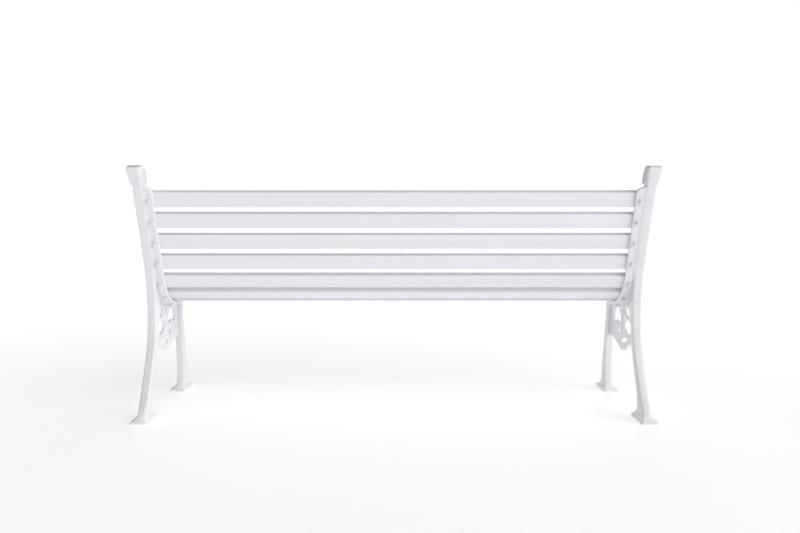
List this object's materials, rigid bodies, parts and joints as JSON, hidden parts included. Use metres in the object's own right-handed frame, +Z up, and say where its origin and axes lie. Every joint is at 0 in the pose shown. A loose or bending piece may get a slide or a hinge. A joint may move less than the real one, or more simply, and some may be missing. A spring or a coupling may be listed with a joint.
{
  "type": "garden bench",
  "caption": "Slatted garden bench: painted slats curve from a leaning back into a seat, bolted between cast end frames with scrolled legs.",
  "frame": {"origin": "on the ground under the middle of the bench: halfway between the end frames, and halfway between the back of the knobs and the rolled front end of the seat", "axes": "+X along the bench to the sitter's left, +Z up, and the sitter faces -Y"},
  "size_m": [1.584, 0.6328, 0.7727],
  "materials": {
    "cast_paint": "glossy white outdoor paint over cast metal, slightly lumpy",
    "slat_paint": "satin white paint over planed wood, with faint lengthwise streaks",
    "bolt_paint": "satin white paint over steel bolts and nuts"
  },
  "bodies": {
    "root": {"end_frame_left": "cast_paint", "end_frame_right": "cast_paint", "back_slat_1": "slat_paint", "back_bolt_1_left": "bolt_paint", "back_nut_1_left": "bolt_paint", "back_bolt_1_right": "bolt_paint", "back_nut_1_right": "bolt_paint", "back_slat_2": "slat_paint", "back_bolt_2_left": "bolt_paint", "back_nut_2_left": "bolt_paint", "back_bolt_2_right": "bolt_paint", "back_nut_2_right": "bolt_paint", "back_slat_3": "slat_paint", "back_bolt_3_left": "bolt_paint", "back_nut_3_left": "bolt_paint", "back_bolt_3_right": "bolt_paint", "back_nut_3_right": "bolt_paint", "back_slat_4": "slat_paint", "back_bolt_4_left": "bolt_paint", "back_nut_4_left": "bolt_paint", "back_bolt_4_right": "bolt_paint", "back_nut_4_right": "bolt_paint", "back_slat_5": "slat_paint", "back_bolt_5_left": "bolt_paint", "back_nut_5_left": "bolt_paint", "back_bolt_5_right": "bolt_paint", "back_nut_5_right": "bolt_paint", "seat_slat_1": "slat_paint", "seat_bolt_1_left": "bolt_paint", "seat_nut_1_left": "bolt_paint", "seat_bolt_1_right": "bolt_paint", "seat_nut_1_right": "bolt_paint", "seat_slat_2": "slat_paint", "seat_bolt_2_left": "bolt_paint", "seat_nut_2_left": "bolt_paint", "seat_bolt_2_right": "bolt_paint", "seat_nut_2_right": "bolt_paint", "seat_slat_3": "slat_paint", "seat_bolt_3_left": "bolt_paint", "seat_nut_3_left": "bolt_paint", "seat_bolt_3_right": "bolt_paint", "seat_nut_3_right": "bolt_paint", "seat_slat_4": "slat_paint", "seat_bolt_4_left": "bolt_paint", "seat_nut_4_left": "bolt_paint", "seat_bolt_4_right": "bolt_paint", "seat_nut_4_right": "bolt_paint", "seat_slat_5": "slat_paint", "seat_bolt_5_left": "bolt_paint", "seat_nut_5_left": "bolt_paint", "seat_bolt_5_right": "bolt_paint", "seat_nut_5_right": "bolt_paint", "seat_slat_6": "slat_paint", "seat_bolt_6_left": "bolt_paint", "seat_nut_6_left": "bolt_paint", "seat_bolt_6_right": "bolt_paint", "seat_nut_6_right": "bolt_paint"}
  },
  "joints": []
}
